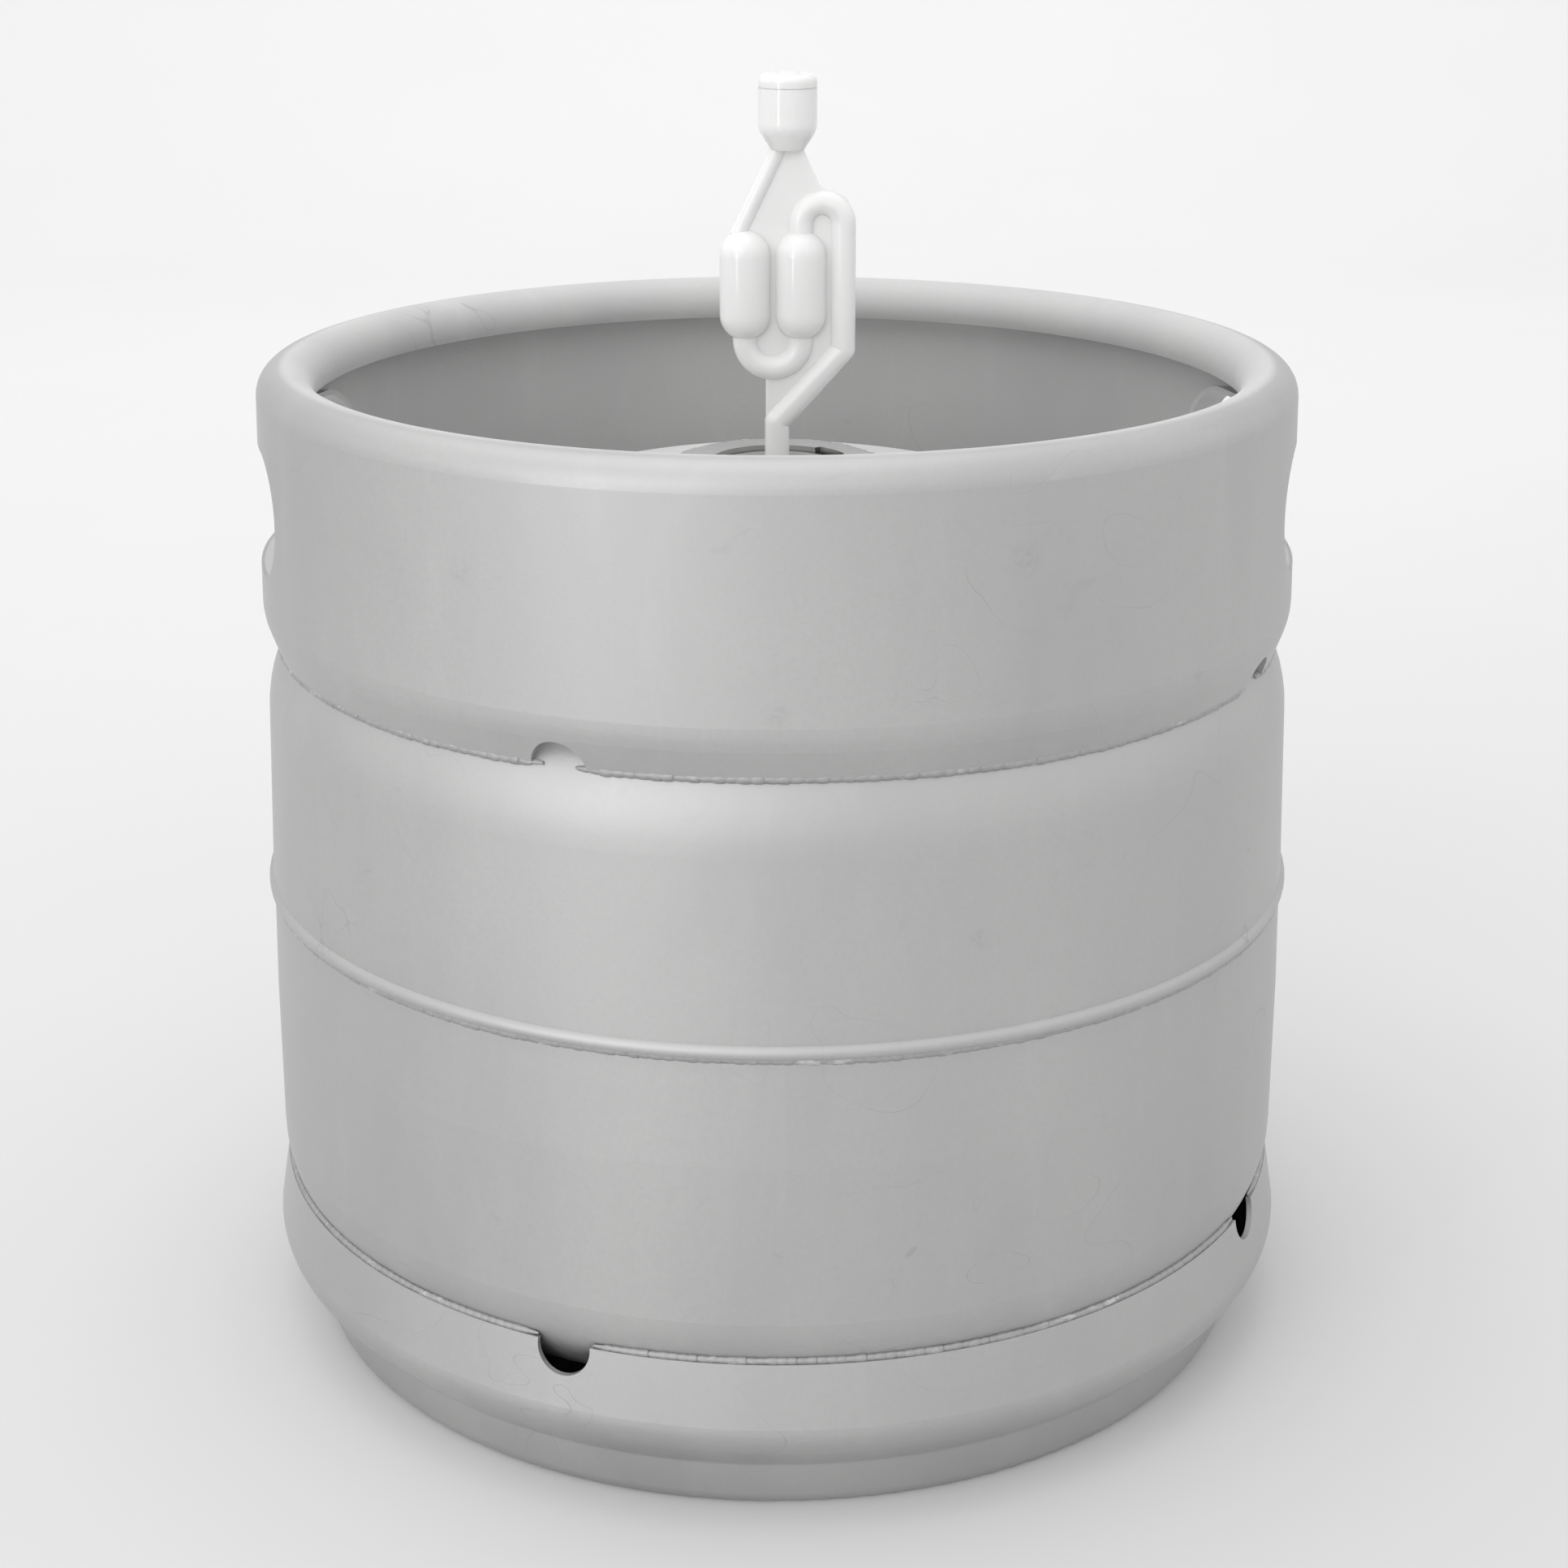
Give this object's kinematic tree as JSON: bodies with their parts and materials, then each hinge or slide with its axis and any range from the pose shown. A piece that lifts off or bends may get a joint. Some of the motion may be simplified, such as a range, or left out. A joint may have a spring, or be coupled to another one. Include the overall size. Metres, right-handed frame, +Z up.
{
  "type": "beer keg",
  "caption": "Stubby round steel vessel with rolled top and bottom chimes, hand-holds and a rubber-stoppered neck that carries a milky plastic twin-bubble airlock.",
  "frame": {"origin": "centre of the circle of floor contact under the bottom chime, on the keg's axis", "axes": "+Z up along the keg's axis; -Y is the side that the flat of the airlock faces; +X is the side of the airlock's riser tube"},
  "size_m": [0.403, 0.403, 0.4815],
  "materials": {
    "chime_steel": "matt pickled stainless sheet with fine scuffs",
    "shell_steel": "matt pickled stainless sheet",
    "machined_steel": "turned stainless, semi-bright",
    "weld_steel": "rippled weld bead, pickled",
    "stopper_rubber": "matt grey rubber",
    "airlock_plastic": "milky translucent moulded plastic",
    "cap_plastic": "milky translucent moulded plastic"
  },
  "bodies": {
    "keg": {"upper_shell": "shell_steel", "lower_shell": "shell_steel", "top_chime": "chime_steel", "bottom_chime": "chime_steel", "neck_fitting": "machined_steel", "top_chime_weld": "weld_steel", "bottom_chime_weld": "weld_steel", "girth_weld": "weld_steel", "neck_weld": "weld_steel"},
    "stopper": {"stopper": "stopper_rubber"},
    "airlock": {"airlock_front_half": "airlock_plastic", "airlock_back_half": "airlock_plastic"},
    "cap": {"airlock_cap": "cap_plastic"}
  },
  "joints": [
    {"name": "stopper_lift", "type": "slide", "parent": "keg", "child": "stopper", "axis": [0, 0, 1], "range_m": [0, 0.05]},
    {"name": "airlock_lift", "type": "slide", "parent": "stopper", "child": "airlock", "axis": [0, 0, 1], "range_m": [0, 0.05]},
    {"name": "cap_lift", "type": "slide", "parent": "airlock", "child": "cap", "axis": [0, 0, 1], "range_m": [0, 0.02]}
  ]
}
